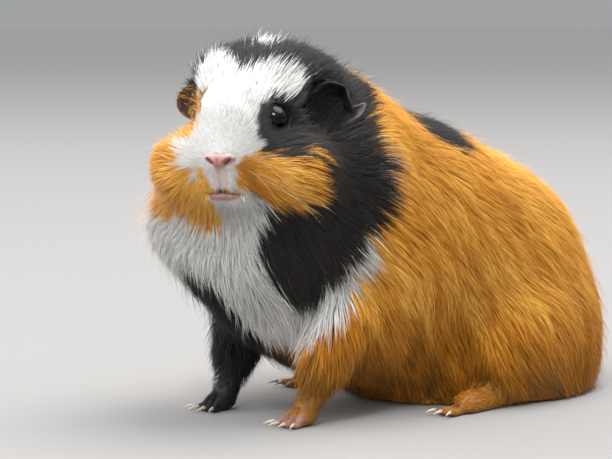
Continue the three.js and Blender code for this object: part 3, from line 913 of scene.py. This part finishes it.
# Painted shade at the roots of the orange tufts, deep in the coat.
orange_root_shade = {0: 0.45, 6: orange_tones, 7: linear("#A26206")}
orange_root_shade = node(coat_tree, "ShaderNodeMix", orange_root_shade, data_type="RGBA").outputs[2]
oranges = node(coat_tree, "ShaderNodeMix", {0: tipward, 6: orange_root_shade, 7: orange_tones}, data_type="RGBA")
blacks = {0: tones, 6: linear("#070605"), 7: linear("#221D19")}
blacks = node(coat_tree, "ShaderNodeMix", blacks, data_type="RGBA")
white_tones = {0: tones, 6: linear("#F8F7F3"), 7: linear("#BFBFBE")}
white_tones = node(coat_tree, "ShaderNodeMix", white_tones, data_type="RGBA").outputs[2]
# Painted shade at the roots of the white tufts, deep in the coat.
white_root_shade = {0: 0.15, 6: white_tones, 7: linear("#B5AC9A")}
white_root_shade = node(coat_tree, "ShaderNodeMix", white_root_shade, data_type="RGBA").outputs[2]
whites = node(coat_tree, "ShaderNodeMix", {0: tipward, 6: white_root_shade, 7: white_tones}, data_type="RGBA")
three_colours = marked_colour(coat_tree, oranges.outputs[2], blacks.outputs[2], whites.outputs[2])
coat_tree.links.new(three_colours, coat_shader.inputs["Base Color"])
coat_own = node(coat_tree, "ShaderNodeTexCoord")
gloss_settings = {"Vector": coat_own.outputs["Object"], "Scale": 1 / GLOSS_PATCH, "Detail": 2.0}
gloss = node(coat_tree, "ShaderNodeTexNoise", gloss_settings)
gloss_range = {"Value": gloss.outputs["Fac"], "To Min": 0.40, "To Max": 0.60}
gloss_range = node(coat_tree, "ShaderNodeMapRange", gloss_range)
coat_tree.links.new(gloss_range.outputs["Result"], coat_shader.inputs["Roughness"])
coat_shader.inputs["Specular IOR Level"].default_value = 0.35
coat_shader.inputs["Sheen Weight"].default_value = 0.06
coat_shader.inputs["Sheen Roughness"].default_value = 0.4


def on_skull(p):
    return ramp(egg(on_head(p), (0, -12, -12), (52, 46, 46)), -6, 0)


def nose_far(p):
    return np.linalg.norm(on_head(p) - NOSE_MIDDLE, axis=1)


def furred(p):
    """No hair on the lids, the nose pad, the lips or the cleft."""
    eyes_far = np.min([np.linalg.norm(p - middle, axis=1) for middle in eyes_off_head], axis=0)
    clear = ramp(eyes_far, EYE_R + 1.0, EYE_R + 1.5)
    nose_clear = ramp(np.linalg.norm((on_head(p) - NOSE_MIDDLE) / [5.6, 6, 2.3], axis=1), 0.9, 1.1)
    return clear * nose_clear * (1 - 0.92 * np.minimum(1.6 * bare(p)[0], 1))


def in_front(p):
    return ramp(-p[:, 1], 28, 40) * (1 - on_skull(p))


def behind(p):
    seen = 0.10 + 0.90 * ramp(p[:, 2], 2, 14)
    return (1 - ramp(-p[:, 1], 28, 40)) * (1 - on_skull(p)) * seen * (1 - on_hind_feet(p))


def face_long(p):
    cheek = ramp(-on_head(p)[:, 2], 8, 24)
    return 1.8 + (8.0 + 6.0 * cheek) * ramp(nose_far(p), 4, 36)


hide_ground = survey(skin, coat_depth)


def near_muzzle(p):
    return on_skull(p) * furred(p) * (1 - ramp(nose_far(p), 20, 27))


def off_muzzle(p):
    return on_skull(p) * furred(p) * ramp(nose_far(p), 20, 27)


def on_breast(p):
    return in_front(p) * ramp(p[:, 2], 22, 32)


def on_limbs(p):
    return in_front(p) * (1 - ramp(p[:, 2], 22, 32)) + on_hind_feet(p)


def limb_long(p):
    """Millimetres of hair: very short on the toes, longer up the foreleg."""
    toes = np.maximum(ramp(-p[:, 1], 62, 70), on_hind_feet(p) * ramp(-p[:, 1], -6, 4))
    return 2.8 - 1.5 * toes + 8 * ramp(p[:, 2], 6, 30)


def limb_wide(p):
    return 0.20 + 0.16 * ramp(p[:, 2], 6, 30)


def on_left(p):
    return behind(p) * (p[:, 0] > 2)


def on_right(p):
    return behind(p) * (p[:, 0] <= 2)


tufts("coat_of_muzzle", hide_ground, 27200, near_muzzle, face_long, 0.20, 101, unruly=0.25, steps=1)
tufts("coat_of_head_1", hide_ground, 19500, off_muzzle, face_long, 0.30, 102)
tufts("coat_of_head_2", hide_ground, 17000, off_muzzle, face_long, 0.22, 103, lift=1.2, gather=0.45, lock=7)
tufts("coat_of_breast_1", hide_ground, 14500, on_breast, 14, 0.40, 104)
long_habit = {"lift": 1.15, "gather": 0.5, "steps": 3, "lock": 7}
tufts("coat_of_breast_2", hide_ground, 10600, on_breast, 17, 0.28, 105, **long_habit)
tufts("coat_of_limbs", hide_ground, 11500, on_limbs, limb_long, limb_wide, 106, lift=1.2, gather=0.3)
tufts("coat_of_left_flank_1", hide_ground, 19000, on_left, 13, 0.40, 107, gather=0.2)
tufts("coat_of_left_flank_2", hide_ground, 18000, on_left, 15, 0.28, 108, lift=1.1, gather=0.35, lock=6)
tufts("coat_of_right_flank_1", hide_ground, 11500, on_right, 13, 0.55, 109, gather=0.2)
tufts("coat_of_right_flank_2", hide_ground, 7500, on_right, 15, 0.42, 110, lift=1.1, gather=0.35, lock=6)


def nose_skin_depth(p):
    return np.full(len(p), 0.35)


def on_nose_top(p):
    """The front of the pad, from its middle to its top edge."""
    pad = on_head(p) - NOSE_MIDDLE
    return ramp(pad[:, 2], 0.1, 2.2) * ramp(-pad[:, 1], -0.5, 1.0)


nose_ground = survey(nose, nose_skin_depth)
tufts("coat_of_nose", nose_ground, 1300, on_nose_top, 1.4, 0.13, 130, steps=1, marks=np.eye(3)[WHITE])


def ear_skin_depth(p):
    return np.full(len(p), 0.5)


def on_ear_root(p):
    return 0.03 + np.clip(1.55 - np.abs(on_head(p)[:, 0]) / 19, 0, 1)


EAR_DOWN = {"left": np.eye(3)[BLACK], "right": np.array([0.5, 0.5, 0.0])}
for side, ear in ears.items():
    ear_ground = survey(ear, ear_skin_depth)
    tufts(f"coat_of_{side}_ear", ear_ground, 1500, on_ear_root, 6.0, 0.22, 120, marks=EAR_DOWN[side])

# ---- Whiskers --------------------------------------------------------------------------------------
# Stiff white bristles, one by one, set into the pads beside the nose. They sweep back and droop.
BRISTLES = 11


def bristles(name, side, seed):
    dice = np.random.default_rng(seed)
    steps = 8
    start = np.stack([dice.uniform(a, b, BRISTLES) for a, b in ((7, 14), (-47, -41), (-28, -15))], axis=1)
    ways = (0.7, 1.0), (-0.45, 0.35), (-0.3, 0.3)
    way = np.stack([dice.uniform(a, b, BRISTLES) for a, b in ways], axis=1)
    long = dice.uniform(18, 36, BRISTLES)
    droop = dice.uniform(4, 16, BRISTLES)
    line = []
    for t in np.linspace(0, 1, steps + 1):
        spot = start + unit(way) * (long * t)[:, None]
        spot[:, 2] -= droop * t * t
        spot[:, 1] += 9 * t * t
        line.append(off_head(spot * [side, 1, 1]))
    out = np.tile(HEAD_TOP, (BRISTLES, 1))
    mesh, _, along = spikes(name, np.array(line), out, dice.uniform(0.10, 0.15, BRISTLES), steps)
    colour_points(mesh, np.tile(along[:, None], (BRISTLES, 3)), "hair")
    piece = in_scene(name, mesh)
    piece.data.materials.append(bristle)
    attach(piece, "root")


# Real bristle: keratin, stiff and glossy, horn-coloured at its root and paler towards its tip.
bristle, bristle_tree, bristle_shader = blank("white_bristle")
bristle_tones = {0: stored(bristle_tree, "hair")["Red"], 6: linear("#A8937A"), 7: linear("#E2D8C6")}
bristle_tones = node(bristle_tree, "ShaderNodeMix", bristle_tones, data_type="RGBA")
bristle_tree.links.new(bristle_tones.outputs[2], bristle_shader.inputs["Base Color"])
bristle_shader.inputs["Roughness"].default_value = 0.35
bristles("whiskers_left", 1, 201)
bristles("whiskers_right", -1, 202)

# ---- Claws -----------------------------------------------------------------------------------------
# Horn claws, filed to a slender arch and pegged into the toes. Horn is smooth, darker and pinker where
# it leaves the toe and paler at the worn tip.
CLAW_R = 0.85  # at the root
CLAW_ARCH = 0.4
CLAW_PEG = 0.8  # length inside the toe

# Filed and rubbed horn: semi-gloss, clouded like candle wax. Its clouds are drawn 0.8 mm wide.
HORN_CLOUD = 0.8 * MM
horn, horn_tree, horn_shader = blank("filed_horn")
growth = node(horn_tree, "ShaderNodeAttribute", attribute_name="growth")
horn_own = node(horn_tree, "ShaderNodeTexCoord")
cloud_settings = {"Vector": horn_own.outputs["Object"], "Scale": 1 / HORN_CLOUD}
clouds = node(horn_tree, "ShaderNodeTexNoise", cloud_settings)
worn = {0: growth.outputs["Fac"], 1: clouds.outputs["Fac"]}
worn = node(horn_tree, "ShaderNodeMath", worn, operation="ADD")
horn_colour = node(horn_tree, "ShaderNodeValToRGB", {"Fac": worn.outputs[0]})
horn_colour.color_ramp.elements[0].color = linear("#6B4F45")
horn_colour.color_ramp.elements[0].position = 0.35
horn_colour.color_ramp.elements[1].color = linear("#C9BBA8")
horn_colour.color_ramp.elements[1].position = 1.3 / 1.5
horn_tree.links.new(horn_colour.outputs["Color"], horn_shader.inputs["Base Color"])
horn_shader.inputs["Roughness"].default_value = 0.35

pattern = sphere("claw_pattern", 14, 16, MM)
ball = places(pattern.data)
along_claw = (1 - ball[:, 2]) / 2
reach = CLAW_R * (1 - along_claw) ** 0.75 * np.minimum(6 * along_claw, 1) ** 0.5
girth = unit(np.hstack([ball[:, :2], 0 * ball[:, 2:]])) * reach[:, None]
arch = CLAW_ARCH * np.sin(math.pi * along_claw)
colour_points(pattern.data, np.repeat(along_claw[:, None], 3, axis=1), "growth")
for name in (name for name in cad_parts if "_claw_" in name):
    foot, _, side, number = name.split("_")
    root_end, point_end = claw_ends(number, side, foot)
    ahead = unit(point_end - root_end)
    level = unit(np.cross(ahead, [0, 0, 1]))
    upright = np.cross(level, ahead)
    claw = in_scene(f"horn_{name}", pattern.data.copy())
    start = root_end - ahead * CLAW_PEG
    run = along_claw[:, None] * (np.linalg.norm(point_end - start))
    bow = (arch + 1.15 * girth[:, 1])[:, None] * upright
    put_places(claw.data, start + run * ahead + 0.8 * girth[:, :1] * level + bow)
    claw.data.materials.append(horn)
    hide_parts(name)
    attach(claw, "root")
bpy.data.objects.remove(pattern)

# ---- Studio ----------------------------------------------------------------------------------------
# A pale painted board under the model, matt and even, and four large soft lights round it. The sky is
# brighter above than at its edge, as daylight is.
bpy.ops.object.select_all(action="DESELECT")
bpy.ops.mesh.primitive_plane_add(size=30)
floor = bpy.context.view_layer.objects.active
floor.name = "floor"
pale, _, pale_shader = blank("pale_painted_board")
pale_shader.inputs["Base Color"].default_value = linear("#8E8C8A")
pale_shader.inputs["Roughness"].default_value = 0.85
floor.data.materials.append(pale)


MODEL_MIDDLE = Vector((0, 0, 0.07))


def softbox(name, place, size, power):
    data = bpy.data.lights.new(name, "AREA")
    data.size = size
    data.energy = power
    lamp = in_scene(name, data)
    lamp.location = place
    lamp.rotation_euler = (MODEL_MIDDLE - Vector(place)).to_track_quat("-Z", "Y").to_euler()


softbox("key", (1.15, -1.85, 2.1), 0.7, 52)
softbox("side", (-2.4, -1.4, 2.0), 2.0, 42)
softbox("front", (-0.5, -2.4, 0.55), 1.2, 12)
softbox("top", (0.5, 0.9, 3.0), 2.6, 125)
world = bpy.data.worlds.new("studio")
world.use_nodes = True
backdrop = world.node_tree.nodes["Background"]
backdrop.inputs["Color"].default_value = linear("#EDEFF2")
towards = node(world.node_tree, "ShaderNodeTexCoord")
height = node(world.node_tree, "ShaderNodeSeparateXYZ", {0: towards.outputs["Generated"]})
glow_range = {"Value": height.outputs["Z"], "To Min": 0.42, "To Max": 1.7}
glow = node(world.node_tree, "ShaderNodeMapRange", glow_range)
world.node_tree.links.new(glow.outputs["Result"], backdrop.inputs["Strength"])
bpy.context.scene.world = world
bpy.context.scene.view_settings.view_transform = "Standard"

turn, rise, far = math.radians(48), math.radians(5.5), 0.950
target = Vector((-0.0098, -0.031463, 0.0739))
lens = bpy.data.cameras.new("camera")
lens.sensor_width = 36
lens.lens = 36 * 2280 / 612
camera = in_scene("camera", lens)
back = Vector((math.sin(turn) * math.cos(rise), -math.cos(turn) * math.cos(rise), math.sin(rise)))
camera.location = target + back * far
camera.rotation_euler = back.to_track_quat("Z", "Y").to_euler()
bpy.context.scene.camera = camera
